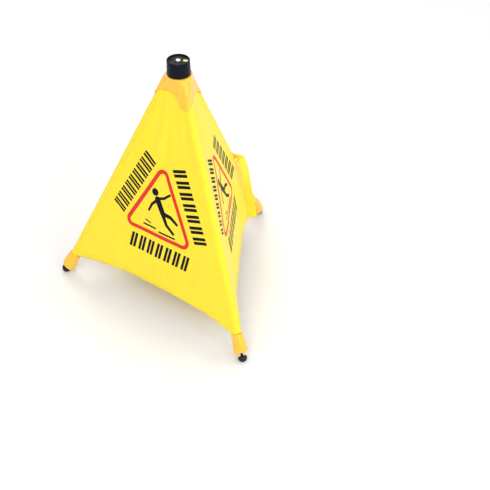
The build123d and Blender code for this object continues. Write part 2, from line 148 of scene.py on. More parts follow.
class Panel:
    """A panel's flat frame: across (w) and down (v) from the apex, on the plane touching both sleeves."""

    def __init__(self, side):
        first, second, self.bow, self.fold_height, self.phase = PANELS[side]
        a, b = LEGS[first], LEGS[second]
        self.side = side
        self.legs = (first, second)
        self.normal = a.down.cross(b.down).normalized()
        if self.normal.dot(a.out + b.out) < 0:
            self.normal.negate()
        self.down = (a.down + b.down).normalized()
        self.across = (b.hinge - a.hinge).normalized()
        level = self.normal.dot(b.hinge) + b.sleeve_r
        self.apex = Vector((0, 0, level / self.normal.z))
        start = b.hinge + self.normal * b.sleeve_r - self.apex
        self.seam_rate = b.down.dot(self.across) / b.down.dot(self.down)
        self.seam_start = start.dot(self.across) - start.dot(self.down) * self.seam_rate
        flat = vertices(f"fabric_panel_{side}") - np.array(self.apex)
        v = flat @ np.array(self.down)
        w = flat @ np.array(self.across)
        self.top = v.min()
        self.hem_corner = v.max() + HEM_DROP
        self.hem_middle = v[abs(w) < HEM_MIDDLE_SHARE * w.max()].max() + HEM_DROP

    def seam(self, v):
        """Half the width between the seams at v."""
        return self.seam_start + self.seam_rate * v

    def hem(self, w):
        """The hem's v at w."""
        share = abs(w) / self.seam(self.hem_corner)
        return self.hem_middle + (self.hem_corner - self.hem_middle) * share**HEM_POWER

    def stand(self, w, v):
        """How far the cloth stands off the flat plane: drawn in between the legs, with soft folds."""
        share = min(1.0, abs(w) / self.seam(v))
        down = min(BOW_DOWN_LIMIT, max(0.0, (v - self.top) / (self.hem_middle - self.top)))
        slack = 1 - share**2
        drawn = -self.bow * slack**BOW_ACROSS_POWER * down**BOW_DOWN_POWER
        fold_length = FOLD_LENGTH[0] + FOLD_LENGTH[1] * down
        ripple_length = RIPPLE_LENGTH[0] + RIPPLE_LENGTH[1] * down
        wave = math.sin(w / fold_length + self.phase) * math.sin(FOLD_SWELL * down + FOLD_START)
        ripple = math.sin(w / ripple_length - 2 * self.phase + 3 * down)
        drawn += self.fold_height * slack * down * (wave + RIPPLE_SHARE * ripple)
        for crease_w, start, end, lean, height in CREASES:
            run = (v - start) / (end - start)
            if 0 < run < 1:
                width = CREASE_WIDTH[0] + CREASE_WIDTH[1] * run
                offset = (w - crease_w * self.seam(start) - lean * (v - start)) / width
                drawn -= height * math.sin(math.pi * run) * math.exp(-offset * offset)
        return drawn

    def point(self, w, v, lift=0.0):
        """The cloth's outer face at (w, v), raised by lift."""
        return self.apex + self.across * w + self.down * v + self.normal * (self.stand(w, v) + lift)


# ---------------------------------------------------------------- materials


class Nodes:
    """A material and short ways to add nodes to it."""

    def __init__(self, name, colour, roughness, **sockets):
        self.material = bpy.data.materials.new(name)
        self.material.use_nodes = True
        self.tree = self.material.node_tree
        self.shader = self.tree.nodes["Principled BSDF"]
        self.shader.inputs["Base Color"].default_value = (*colour, 1)
        self.shader.inputs["Roughness"].default_value = roughness
        for socket, value in sockets.items():
            self.shader.inputs[socket.replace("_", " ")].default_value = value
        self.colour = colour
        self.height = None

    def add(self, kind, inputs=(), **settings):
        node = self.tree.nodes.new(kind)
        for key, value in settings.items():
            setattr(node, key, value)
        for key, value in dict(inputs).items():
            if isinstance(value, bpy.types.NodeSocket):
                self.tree.links.new(value, node.inputs[key])
            else:
                node.inputs[key].default_value = value
        return node

    def place(self, attribute=None):
        """The coordinate that patterns follow: a named attribute, or the object's own."""
        if attribute:
            return self.add("ShaderNodeAttribute", attribute_name=attribute).outputs["Vector"]
        return self.add("ShaderNodeTexCoord").outputs["Object"]

    def stretched(self, place, scale):
        return self.add("ShaderNodeMapping", {"Vector": place, "Scale": scale}).outputs["Vector"]

    def noise(self, place, scale, detail=3.0, roughness=0.55):
        inputs = {"Vector": place, "Scale": scale, "Detail": detail, "Roughness": roughness}
        return self.add("ShaderNodeTexNoise", inputs).outputs["Fac"]

    def spread(self, value, low, high, start=0.3, end=0.7):
        """Maps a pattern's values from start..end to low..high."""
        inputs = {"Value": value, "From Min": start, "From Max": end, "To Min": low, "To Max": high}
        return self.add("ShaderNodeMapRange", inputs).outputs["Result"]

    def tint(self, factor, low, high):
        """Base colour that runs between two shades of the material's colour."""
        mix = self.add("ShaderNodeMix", {"Factor": factor}, data_type="RGBA")
        mix.inputs["A"].default_value = (*[c * low for c in self.colour], 1)
        mix.inputs["B"].default_value = (*[min(1.0, c * high) for c in self.colour], 1)
        self.tree.links.new(mix.outputs["Result"], self.shader.inputs["Base Color"])

    def rough(self, factor, low, high):
        self.tree.links.new(self.spread(factor, low, high), self.shader.inputs["Roughness"])

    def bump(self, height, distance, strength=1.0):
        """Adds a relief on top of those already there."""
        inputs = {"Height": height, "Distance": distance, "Strength": strength}
        if self.height:
            inputs["Normal"] = self.height
        self.height = self.add("ShaderNodeBump", inputs).outputs["Normal"]
        self.tree.links.new(self.height, self.shader.inputs["Normal"])

    def multiply(self, a, b):
        node = self.add("ShaderNodeMath", operation="MULTIPLY")
        self.tree.links.new(a, node.inputs[0])
        self.tree.links.new(b, node.inputs[1])
        return node.outputs["Value"]


def cloth_material(name, colour, ink=0.0):
    """Coated polyester: a fine plain weave with a thin sheen. Ink takes off some of its shine."""
    sheen = max(0.0, 0.12 - ink)
    shine = 0.3 - 1.5 * ink
    m = Nodes(name, colour, 0.5, Sheen_Weight=sheen, Sheen_Roughness=0.5, Specular_IOR_Level=shine)
    place = m.place("cloth")
    threads = []
    for direction in ("X", "Y"):
        inputs = {"Vector": place, "Scale": WEAVE_SCALE, "Distortion": 0.6, "Detail": 1.0}
        wave = m.add("ShaderNodeTexWave", inputs, wave_type="BANDS", bands_direction=direction)
        threads.append(wave.outputs["Fac"])
    weave = m.multiply(*threads)
    cloudy = m.noise(place, 9.0, 4.0)
    mottle = m.noise(place, 140.0, 2.0)
    m.tint(m.spread(m.multiply(cloudy, mottle), 0.0, 1.0, 0.12, 0.4), 0.93 - ink, 1.03)
    m.rough(mottle, 0.42, 0.58)
    m.bump(cloudy, 0.6 * MM, 0.35)
    m.bump(mottle, 0.12 * MM, 0.4)
    m.bump(weave, 0.10 * MM, 0.5)
    return m.material


def webbing_material(name, colour):
    """Woven webbing with ribs across it and diagonal threads."""
    m = Nodes(name, colour, 0.55, Sheen_Weight=0.3, Sheen_Roughness=0.4, Specular_IOR_Level=0.35)
    place = m.place("cloth")
    inputs = {"Vector": place, "Scale": 190.0, "Distortion": 0.4, "Detail": 1.0}
    ribs = m.add("ShaderNodeTexWave", inputs, wave_type="BANDS", bands_direction="Y").outputs["Fac"]
    inputs = {"Vector": place, "Scale": 230.0, "Distortion": 0.8, "Detail": 1.0}
    twill = m.add("ShaderNodeTexWave", inputs, wave_type="BANDS", bands_direction="DIAGONAL")
    threads = twill.outputs["Fac"]
    soft = m.noise(place, 60.0)
    m.tint(m.spread(m.multiply(ribs, soft), 0.0, 1.0, 0.05, 0.5), 0.93, 1.03)
    m.rough(soft, 0.5, 0.7)
    m.bump(threads, 0.15 * MM, 0.5)
    m.bump(ribs, 0.30 * MM, 0.7)
    return m.material


def plastic_material(name, colour, roughness, grain, **sockets):
    """Moulded plastic: faint flow marks, a fine grain, and duller handled patches."""
    m = Nodes(name, colour, roughness, **sockets)
    place = m.place()
    flow = m.noise(place, 55.0, 4.0)
    fine = m.noise(place, 1400.0, 2.0)
    worn = m.noise(place, 130.0, 5.0, 0.7)
    m.tint(m.spread(flow, 0.0, 1.0), 0.95, 1.04)
    m.rough(worn, roughness * 0.8, min(1.0, roughness * 1.3))
    m.bump(flow, 0.25 * MM, 0.25)
    m.bump(fine, 0.05 * MM, grain)
    return m.material


def rubber_material(name, colour):
    """Moulded rubber with a dusty, matt bloom."""
    m = Nodes(name, colour, 0.75, Specular_IOR_Level=0.3)
    place = m.place()
    bloom = m.noise(place, 260.0, 5.0, 0.7)
    m.tint(m.spread(bloom, 0.0, 1.0), 0.8, 2.2)
    m.rough(bloom, 0.62, 0.9)
    m.bump(m.noise(place, 900.0, 3.0), 0.12 * MM, 0.5)
    return m.material


def metal_material(name, colour, roughness, streaks):
    """Bright plated steel with fine drawn streaks and a few dull spots."""
    m = Nodes(name, colour, roughness, Metallic=1.0)
    place = m.place()
    lines = m.noise(m.stretched(place, (900.0, 900.0, 60.0)), 1.0, 2.0)
    spots = m.noise(place, 420.0, 4.0)
    m.tint(m.spread(spots, 0.0, 1.0), 0.85, 1.05)
    m.rough(spots, roughness * 0.7, roughness * 1.5)
    m.bump(lines, 0.03 * MM, streaks)
    return m.material


def rod_material(name, colour):
    """Drawn glass-fibre tube with long faint fibres."""
    m = Nodes(name, colour, 0.45)
    place = m.place()
    fibres = m.noise(m.stretched(place, (1500.0, 1500.0, 25.0)), 1.0, 3.0)
    m.tint(m.spread(fibres, 0.0, 1.0), 0.85, 1.1)
    m.rough(m.noise(place, 90.0), 0.35, 0.55)
    m.bump(fibres, 0.04 * MM, 0.5)
    return m.material


YELLOW = (1.0, 0.765, 0.025)
AMBER = (1.0, 0.545, 0.03)
BLACK_PLASTIC = (0.003, 0.0045, 0.012)
GLOSS = {"Coat_Weight": 0.3, "Coat_Roughness": 0.12}
MATERIALS = {
    "yellow_fabric": cloth_material("yellow_cloth", YELLOW),
    "ink_black": cloth_material("black_ink", (0.006, 0.005, 0.012), 0.13),
    "ink_red": cloth_material("red_ink", (0.80, 0.026, 0.018), 0.05),
    "thread": webbing_material("yellow_thread", (1.0, 0.74, 0.03)),
    "strap_webbing": webbing_material("yellow_webbing", (1.0, 0.80, 0.035)),
    "amber_plastic": plastic_material("amber_plastic", AMBER, 0.3, 0.12, **GLOSS),
    "black_plastic": plastic_material("black_plastic", BLACK_PLASTIC, 0.34, 0.35, Specular_IOR_Level=0.11),
    "hub_plastic": plastic_material("hub_plastic", (0.03, 0.03, 0.035), 0.55, 0.4),
    "key_plastic": plastic_material("key_plastic", (0.95, 0.86, 0.30), 0.35, 0.15),
    "grey_rod": rod_material("glass_fibre", (0.5, 0.51, 0.51)),
    "foot_rubber": rubber_material("foot_rubber", (0.012, 0.012, 0.013)),
    "zinc_steel": metal_material("zinc_steel", (0.85, 0.85, 0.86), 0.28, 0.4),
    "spring_steel": metal_material("spring_steel", (0.5, 0.5, 0.52), 0.35, 0.6),
}


def dress_cad_nodes():
    """Every CAD node takes the detailed material of its slot."""
    slots = {row["node"]: row["material_slot"] for row in frame["record"]["subparts"]}
    for name, node in frame["nodes"].items():
        node.data.materials.clear()
        node.data.materials.append(MATERIALS[slots[name]])


# ---------------------------------------------------------------- mesh helpers


def new_piece(name, points, faces, materials, indices=None, cloth=None, smooth=True):
    """A mesh object from points and faces. cloth is each point's place on the flat cloth."""
    mesh = bpy.data.meshes.new(name)
    mesh.from_pydata([tuple(p) for p in points], [], faces)
    for material in materials:
        mesh.materials.append(MATERIALS[material])
    if indices is not None:
        mesh.polygons.foreach_set("material_index", indices)
    mesh.polygons.foreach_set("use_smooth", [smooth] * len(mesh.polygons))
    if cloth is not None:
        attribute = mesh.attributes.new("cloth", "FLOAT_VECTOR", "POINT")
        attribute.data.foreach_set("vector", np.array(cloth, np.float32).ravel())
    mesh.validate()
    mesh.update()
    piece = bpy.data.objects.new(name, mesh)
    bpy.context.scene.collection.objects.link(piece)
    return piece


def stitches(name, rows):
    """Short raised stitches along rows of (point, normal) pairs, as one mesh."""
    points, faces, cloth = [], [], []
    for row in rows:
        travelled, mark = 0.0, STITCH_PITCH / 2
        for (a, normal), (b, _) in zip(row, row[1:]):
            run = (b - a).length
            while mark < travelled + run:
                middle = a.lerp(b, (mark - travelled) / run)
                add_stitch(points, faces, cloth, middle, (b - a).normalized(), normal)
                mark += STITCH_PITCH
            travelled += run
    return new_piece(name, points, faces, ["thread"], cloth=cloth)


def add_stitch(points, faces, cloth, middle, along, normal):
    """One stitch: a low lens of thread whose ends dip into the cloth."""
    side = along.cross(normal).normalized()
    base = len(points)
    for share, width, lift in STITCH_SECTIONS:
        centre = middle + along * (share * STITCH_LENGTH) + normal * (lift * STITCH_WIDTH)
        for turn in range(4):
            angle = math.pi / 4 + turn * math.pi / 2
            offset = side * math.cos(angle) + normal * (0.6 * math.sin(angle))
            points.append(centre + offset * (width * STITCH_WIDTH * 0.7))
            cloth.append((share * STITCH_LENGTH, math.cos(angle) * STITCH_WIDTH, 0))
    for ring in range(3):
        for turn in range(4):
            a, b = base + ring * 4 + turn, base + ring * 4 + (turn + 1) % 4
            faces.append((a, b, b + 4, a + 4))
    faces.append((base + 3, base + 2, base + 1, base))
    faces.append((base + 12, base + 13, base + 14, base + 15))


# ---------------------------------------------------------------- print on the panels


def arc(centre, radius, start, end, count=8):
    """Points on an arc, angles in degrees."""
    angles = np.radians(np.linspace(start, end, count))
    return [(centre[0] + radius * math.cos(a), centre[1] + radius * math.sin(a)) for a in angles]


def rounded_triangle(apex_v, base_v, half_width, radius, inset=0.0):
    """A triangle with rounded corners, point up, drawn inset from its outer edge. v runs down."""
    height = base_v - apex_v
    half_angle = math.degrees(math.atan2(half_width, height))
    reach = radius / math.sin(math.radians(half_angle))
    low_angle = (90 - half_angle) / 2
    side = radius / math.tan(math.radians(low_angle))
    tight = radius - inset
    outline = arc((0, apex_v + reach), tight, 180 + half_angle, 360 - half_angle)
    outline += arc((half_width - side, base_v - radius), tight, -half_angle, 90)
    outline += arc((-half_width + side, base_v - radius), tight, 90, 180 + half_angle)
    return outline


def limb(start, end, start_r, end_r):
    """A tapered round-ended bar."""
    (x0, y0), (x1, y1) = start, end
    heading = math.degrees(math.atan2(y1 - y0, x1 - x0))
    far_end = arc(end, end_r, heading - 90, heading + 90, 6)
    return far_end + arc(start, start_r, heading + 90, heading + 270, 6)


def bar_row(start, end, height, cells):
    """A row of slanted bars, two to a cell, standing up from the line start-end."""
    (x0, y0), (x1, y1) = start, end
    length = math.hypot(x1 - x0, y1 - y0)
    ux, uy = (x1 - x0) / length, (y1 - y0) / length
    nx, ny = uy, -ux
    pitch = length / (2 * cells)
    stroke, lean = BAR_STROKE * pitch, BAR_LEAN * height
    bars = []
    for index in range(2 * cells):
        left = (index + BAR_STARTS[index % 2]) * pitch
        corners = ((left, 0), (left + stroke, 0), (left + stroke + lean, height), (left + lean, height))
        bars.append([(x0 + a * ux + b * nx, y0 + a * uy + b * ny) for a, b in corners])
    return bars


# A cover's materials, and the places of the print's colours among them
COVER_MATERIALS = ["yellow_fabric", "ink_black", "ink_red"]
BLACK, RED = 1, 2
# The warning triangle's top, base, half width and corner radius, in millimetres on the flat cloth
TRIANGLE = (225, 383, 84, 15)
TRIANGLE_STROKE = 8
# The bars, in shares of their pitch or height: stroke, lean, and where the two of a cell start
BAR_STROKE = 0.56
BAR_LEAN = 0.16
BAR_STARTS = (0.306, 0.09)


def print_shapes():
    """The print: (material index, outlines that fill, outlines that cut), in the panel's own w and v."""
    outer = rounded_triangle(*TRIANGLE)
    inner = rounded_triangle(*TRIANGLE, TRIANGLE_STROKE)
    figure = [
        arc((-14, 292), 7.6, 0, 345, 20),
        limb((-7, 305), (9, 330), 6.6, 6.0),
        limb((-6, 303), (8, 297), 3.0, 2.7),
        limb((8, 297), (20, 286), 2.7, 2.3),
        limb((-8, 307), (-19, 319), 3.0, 2.6),
        limb((-19, 319), (-25, 334), 2.6, 2.3),
        limb((10, 329), (27, 330), 4.6, 3.6),
        limb((27, 330), (42, 339), 3.6, 3.0),
        limb((9, 332), (19, 349), 4.4, 3.4),
        limb((19, 349), (36, 361), 3.4, 3.0),
    ]
    puddle = [
        limb((-34, 366), (-6, 366), 1.8, 1.8),
        limb((4, 370), (40, 370), 1.8, 1.8),
        limb((-30, 356), (-18, 359), 1.5, 1.2),
    ]
    rows = bar_row((-83, 364), (-17, 233), 31, 9) + bar_row((18, 231), (88, 365), 29, 7)
    rows += bar_row((-67, 426), (78, 426), 32, 7)
    black = [in_metres(outline) for outline in figure + puddle + rows]
    return [(RED, [in_metres(outer)], [in_metres(inner)]), (BLACK, black, [])]


def in_metres(outline):
    """An outline given in millimetres, in metres."""
    return [(w * MM, v * MM) for w, v in outline]


def inside(outline, points):
    """Which points are inside an outline, by counting crossings."""
    found = np.zeros(len(points), bool)
    x, y = points[:, 0], points[:, 1]
    for (x0, y0), (x1, y1) in zip(outline, outline[1:] + outline[:1]):
        if y0 == y1:
            continue
        crosses = (y0 > y) != (y1 > y)
        found ^= crosses & (x < (x1 - x0) * (y - y0) / (y1 - y0) + x0)
    return found


def divided(outline, step, closed=True):
    """An outline with points added so that none are further apart than step."""
    ends = outline[1:] + (outline[:1] if closed else [])
    result = []
    for (x0, y0), (x1, y1) in zip(outline, ends):
        count = max(1, math.ceil(math.hypot(x1 - x0, y1 - y0) / step))
        result += [(x0 + (x1 - x0) * k / count, y0 + (y1 - y0) * k / count) for k in range(count)]
    return result if closed else result + [outline[-1]]


# ---------------------------------------------------------------- cloth pieces


def panel_outline(panel):
    """The flat cloth's outline: top edge, seams and arched hem, lapping a little onto the sleeves."""
    top, corner = panel.seam(panel.top) + SEAM_LAP, panel.seam(panel.hem_corner) + SEAM_LAP
    hem = [(w, panel.hem(w)) for w in np.linspace(corner, -corner, HEM_POINTS)]
    first = (-top, panel.top)
    start = divided([first, (top, panel.top), (corner, panel.hem(corner))], MESH_STEP, closed=False)
    end = divided([hem[-1], first], MESH_STEP, closed=False)
    return start[:-1] + hem + end[1:-1]


def flat_mesh(panel):
    """The flat cloth cut into triangles along its print, its hem fold and an even grid."""
    outline = panel_outline(panel)
    shapes = print_shapes()
    loops = [divided(shape, MESH_STEP) for _, fills, cuts in shapes for shape in fills + cuts]
    folds = []
    for depth in (HEM_DEPTH, HEM_DEPTH + HEM_STEP):
        reach = panel.seam(panel.hem_middle) - 1 * MM
        folds.append([(w, panel.hem(w) - depth) for w in np.linspace(-reach, reach, HEM_POINTS)])
    points, edges = [], []
    lines = [(loop, True) for loop in [outline] + loops] + [(fold, False) for fold in folds]
    for line, closed in lines:
        first = len(points)
        points += line
        edges += [(first + k, first + k + 1) for k in range(len(line) - 1)]
        if closed:
            edges.append((len(points) - 1, first))
    fixed = np.array(points)
    widest = max(w for w, _ in outline)
    grid = []
    for row, v in enumerate(np.arange(panel.top + MESH_STEP / 2, panel.hem_corner, MESH_STEP * 0.87)):
        shift = MESH_STEP / 2 * (row % 2)
        grid += [(w + shift, v) for w in np.arange(-widest, widest, MESH_STEP)]
    grid = np.array(grid)
    grid = grid[inside(outline, grid)]
    gaps = np.array([np.hypot(*(fixed - p).T).min() for p in grid])
    points += [tuple(p) for p in grid[gaps > 0.4 * MESH_STEP]]
    cut = delaunay_2d_cdt([Vector(p) for p in points], edges, [], 0, 1e-7)
    flat = np.array([tuple(p) for p in cut[0]])
    faces = np.array([tuple(f) for f in cut[2]])
    centres = flat[faces].mean(1)
    keep = inside(outline, centres)
    faces, centres = faces[keep], centres[keep]
    colours = np.zeros(len(faces), int)
    for index, fills, cuts in shapes:
        covered = np.zeros(len(faces), bool)
        for fill in fills:
            covered |= inside(fill, centres)
        for hole in cuts:
            covered &= ~inside(hole, centres)
        colours[covered] = index
    return flat, faces, colours


def boundary(faces):
    """Directed edges that belong to one face only."""
    seen = {}
    for face in faces:
        for a, b in zip(face, np.roll(face, -1)):
            seen[(int(a), int(b))] = True
    return [(a, b) for a, b in seen if (b, a) not in seen]


def fabric_panel(side):
    """One side of the cover: printed cloth with a folded hem, drawn in between its legs."""
    panel = Panel(side)
    flat, faces, colours = flat_mesh(panel)
    first = flat[faces[:, 1]] - flat[faces[:, 0]]
    second = flat[faces[:, 2]] - flat[faces[:, 0]]
    wrong = first[:, 0] * second[:, 1] - first[:, 1] * second[:, 0] > 0
    if panel.across.cross(panel.down).dot(panel.normal) > 0:
        wrong = ~wrong
    faces[wrong] = faces[wrong][:, ::-1]
    outer, inner = [], []
    for w, v in flat:
        folded = panel.hem(w) - v < HEM_DEPTH + HEM_STEP / 2
        extra = FOLD_THICKNESS if folded else 0.0
        outer.append(panel.point(w, v, extra))
        inner.append(panel.point(w, v, -CLOTH_THICKNESS - extra))
    count = len(outer)
    solid = [tuple(int(k) for k in face) for face in faces]
    solid += [tuple(int(k) + count for k in face[::-1]) for face in faces]
    edge = boundary(faces)
    solid += [(b, a, a + count, b + count) for a, b in edge]
    indices = list(colours) + [0] * (len(faces) + len(edge))
    cloth = [(w, v, 0) for w, v in flat] * 2
    piece = new_piece(f"cover_{side}", outer + inner, solid, COVER_MATERIALS, indices, cloth)
    threads = panel_stitches(panel)
    area = sum(abs(a * d - b * c) / 2 for (a, b), (c, d) in zip(first, second))
    width = 2 * panel.seam(panel.hem_corner)
    sleeves = [f"sleeve_{leg}" for leg in panel.legs]
    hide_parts(f"fabric_panel_{side}")
    for cloth_piece in (piece, threads):
        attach(cloth_piece, f"panel_{side}")
        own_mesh(cloth_piece)
    return piece, threads, (width, panel.hem_corner - panel.top), area, sleeves


def panel_stitches(panel):
    """Stitch rows: one along the hem and one just inside each seam."""
    lift = FOLD_THICKNESS
    reach = panel.seam(panel.hem_middle) - 2 * STITCH_INSET
    hem = []
    for w in np.linspace(-reach, reach, 90):
        hem.append((panel.point(w, panel.hem(w) - HEM_STITCH_INSET, lift), panel.normal))
    rows = [hem]
    for sign in (-1, 1):
        row = []
        high, low = SEAM_STITCH_ENDS
        for v in np.linspace(panel.top + high, panel.hem_corner - HEM_DEPTH - low, 60):
            row.append((panel.point(sign * (panel.seam(v) - STITCH_INSET), v), panel.normal))
        rows.append(row)
    return stitches(f"stitching_{panel.side}", rows)


SLEEVE_STEPS = 120
SLEEVE_TURNS = 40
SLEEVE_EASE = 0.15 * MM
SLEEVE_HEM = 0.35 * MM
# Faint ripples: height, length along the leg, and turns round it
SLEEVE_RIPPLES = [(0.10 * MM, 9 * MM, 2), (0.08 * MM, 4 * MM, -1)]


def leg_sleeve(leg):
    """The sewn pocket that a leg's rod slides into, with a turned hem at its foot."""
    steps, turns = SLEEVE_STEPS, SLEEVE_TURNS
    points, cloth = [], []
    start, end = leg.sleeve_top, leg.sleeve_end
    for layer in (0.0, CLOTH_THICKNESS):
        for k in range(steps + 1):
            along = start + (end - start) * k / steps
            for j in range(turns):
                turn = 2 * math.pi * j / turns
                points.append(leg.point(along, sleeve_reach(leg, along, turn) - layer, turn))
                cloth.append((turn * leg.sleeve_r, along, 0))
    faces = []
    ring, layer_size = turns, (steps + 1) * turns
    for k in range(steps):
        for j in range(turns):
            a, b = k * ring + j, k * ring + (j + 1) % turns
            faces.append((a, b, b + ring, a + ring))
            faces.append((layer_size + a + ring, layer_size + b + ring, layer_size + b, layer_size + a))
    last = steps * ring
    for j in range(turns):
        a, b = j, (j + 1) % turns
        faces.append((b, a, layer_size + a, layer_size + b))
        faces.append((last + a, last + b, layer_size + last + b, layer_size + last + a))
    piece = new_piece(f"sleeve_{leg.side}", points, faces, ["yellow_fabric"], cloth=cloth)
    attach(piece, f"leg_{leg.side}")
    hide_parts(f"leg_sleeve_{leg.side}")
    return piece


def sleeve_reach(leg, along, turn):
    """The sleeve's outer radius: snug on the rod, faintly rippled, thicker at its hem."""
    ripple = 0.0
    for height, length, rounds in SLEEVE_RIPPLES:
        ripple += height * math.sin(along / length + rounds * turn)
    hem = SLEEVE_HEM if leg.sleeve_end - along < HEM_DEPTH else 0.0
    return leg.sleeve_r + SLEEVE_EASE + ripple + hem


# The strap's middle line in its leg's own frame: outwards, across and down the leg, in millimetres
STRAP_ROUTE = [
    (8.7, 4.0, 287.6),
    (9.6, -0.4, 287.6),
    (8.2, -6.0, 287.6),
    (9.3, -13.0, 289.5),
    (8.0, -19.5, 295.0),
    (1.5, -26.5, 305.5),
    (-6.7, -31.0, 323.5),
    (-17.7, -33.0, 345.7),
    (-26.2, -33.8, 382.0),
    (-37.3, -37.0, 410.3),
    (-50.0, -43.0, 427.5),
]
STRAP_WIDTH = 18.0 * MM
STRAP_THICKNESS = 1.6 * MM
STRAP_SELVEDGE = 0.25 * MM
STRAP_FLAT = 12 * MM
STRAP_TWIST = 18 * MM
# The way its face points where it hangs (outwards, across and down), and its lean off that at its top
STRAP_FACING = (-0.735, -0.567, -0.371)
STRAP_LEAN = math.radians(42)
STRAP_LEAN_RUN = (50 * MM, 100 * MM)
STRAP_STEPS = 110
STRAP_COLUMNS = 14
# A distance from the leg's axis, at which a point beside the hinge is worked out but not used
STRAP_REST = 9.0 * MM
# The sewn box at its root, the row across its end fold, and the box's sides as a share of half its width
STRAP_BOX = (1.5 * MM, 13 * MM)
STRAP_FOLD = 15 * MM
STRAP_BOX_SHARE = 0.72


def smooth_line(points, count):
    """A Catmull-Rom line through points, as evenly numbered samples."""
    pts = [2 * points[0] - points[1], *points, 2 * points[-1] - points[-2]]
    line = []
    for k in range(count + 1):
        s = k / count * (len(points) - 1)
        i = min(int(s), len(points) - 2)
        t = s - i
        a, b, c, d = pts[i : i + 4]
        bend = (2 * a - 5 * b + 4 * c - d) * t * t + (3 * b - a - 3 * c + d) * t**3
        line.append(0.5 * (2 * b + (c - a) * t + bend))
    for _ in range(4):
        inner = [(p + 2 * q + r) / 4 for p, q, r in zip(line, line[1:], line[2:])]
        line = [line[0], *inner, line[-1]]
    return line


def eased(share):
    """A share held between 0 and 1, with soft ends."""
    share = min(1.0, max(0.0, share))
    return share * share * (3 - 2 * share)


class StrapLine:
    """The strap's middle line with its width and face directions at each step."""

    def __init__(self, leg):
        route = [leg.hinge + leg.turned(*place) * MM for place in STRAP_ROUTE]
        self.centre = smooth_line(route, STRAP_STEPS)
        self.lengths = [0.0]
        for a, b in zip(self.centre, self.centre[1:]):
            self.lengths.append(self.lengths[-1] + (b - a).length)
        facing = leg.turned(*STRAP_FACING)
        lean_start, lean_end = STRAP_LEAN_RUN
        self.widths, self.normals = [], []
        for k in range(len(self.centre)):
            ahead = (self.centre[min(k + 1, STRAP_STEPS)] - self.centre[max(k - 1, 0)]).normalized()
            turn = eased((self.lengths[k] - STRAP_FLAT) / STRAP_TWIST)
            lean = STRAP_LEAN * (1 - eased((self.lengths[k] - lean_start) / (lean_end - lean_start)))
            hanging = facing.cross(ahead).normalized()
            hanging = hanging * math.cos(lean) + hanging.cross(ahead) * math.sin(lean)
            up_leg = -leg.down - ahead * -leg.down.dot(ahead)
            width = up_leg.normalized().lerp(hanging, turn)
            width = (width - ahead * width.dot(ahead)).normalized()
            self.widths.append(width)
            self.normals.append(width.cross(ahead).normalized())

    def half_width(self, k):
        """Half the strap's width at a step, rounded off at its free end."""
        left = self.lengths[-1] - self.lengths[k]
        half = STRAP_WIDTH / 2
        if left < half:
            half *= math.sqrt(max(0.04, 1 - (1 - left / half) ** 2))
        return half

    def place(self, k, share, layer=0.0):
        """A point on the strap: share of its half width, layer of its thickness."""
        half = self.half_width(k)
        edge = STRAP_THICKNESS / 2 * (1 - 0.45 * abs(share) ** 10)
        edge += STRAP_SELVEDGE * math.exp(-(((abs(share) - 0.86) / 0.08) ** 2))
        return self.centre[k] + self.widths[k] * (share * half) + self.normals[k] * (layer * edge)


def carry_strap():
    """Webbing sewn to the side leg's sleeve, that bows out and hangs down to a rounded end."""
    line = StrapLine(LEGS["right"])
    points, cloth, faces = [], [], []
    shares = [2 * j / STRAP_COLUMNS - 1 for j in range(STRAP_COLUMNS + 1)]
    for k in range(STRAP_STEPS + 1):
        for layer in (1, -1):
            for share in shares:
                points.append(line.place(k, share, layer))
                cloth.append((share * line.half_width(k), line.lengths[k], 0))
    side = STRAP_COLUMNS + 1
    row = 2 * side
    for k in range(STRAP_STEPS):
        for j in range(STRAP_COLUMNS):
            a = k * row + j
            faces.append((a, a + 1, a + row + 1, a + row))
            b = a + side
            faces.append((b + row, b + row + 1, b + 1, b))
        a, b = k * row, k * row + side
        last = STRAP_COLUMNS
        faces.append((a, a + row, b + row, b))
        faces.append((b + last, b + row + last, a + row + last, a + last))
    for base, turned in ((0, False), (STRAP_STEPS * row, True)):
        for j in range(STRAP_COLUMNS):
            face = (base + j, base + side + j, base + side + j + 1, base + j + 1)
            faces.append(face[::-1] if turned else face)
    piece = new_piece("carry_strap_webbing", points, faces, ["strap_webbing"], cloth=cloth)
    threads = strap_stitches(line)
    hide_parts("carry_strap")
    leg = LEGS["right"]
    for part in (piece, threads):
        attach(part, "leg_right")
        leg.point(0, STRAP_REST)
        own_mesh(part)


def strap_stitches(line):
    """The sewn box at the strap's root and a row across its folded end."""
    root = [k for k in range(STRAP_STEPS) if STRAP_BOX[0] < line.lengths[k] < STRAP_BOX[1]]
    end = max(k for k in range(STRAP_STEPS) if line.lengths[-1] - line.lengths[k] > STRAP_FOLD)
    rows = []
    for share in (-STRAP_BOX_SHARE, STRAP_BOX_SHARE):
        rows.append([(line.place(k, share, 1), line.normals[k]) for k in root])
    for k in (root[0], root[-1], end):
        rows.append([(line.place(k, share / 10, 1), line.normals[k]) for share in range(-8, 9)])
    return stitches("strap_stitching", rows)


# ---------------------------------------------------------------- crown


# The crown's rounded shoulder: distance below its top, and radius over a leg. Then it follows the legs
CROWN_SHOULDER = [(0.0, 24.0), (1.3, 25.2), (3.7, 27.0), (8.0, 29.5), (12.5, 31.6)]
CROWN_WALL = 1.4 * MM
CROWN_LIP = 1.3 * MM
CROWN_LOBE = 9.9 * MM
CROWN_FACE = 23.2 * MM
CROWN_COLLAR = 17.9 * MM
CROWN_TOP_ROUND = (0.8 * MM, 0.2 * MM)
CROWN_ROW_CROWDING = 1.3
# The outside and the inside stop this far above the edge, for the rim between them
CROWN_RIM_RISE = (0.5 * MM, 0.6 * MM)
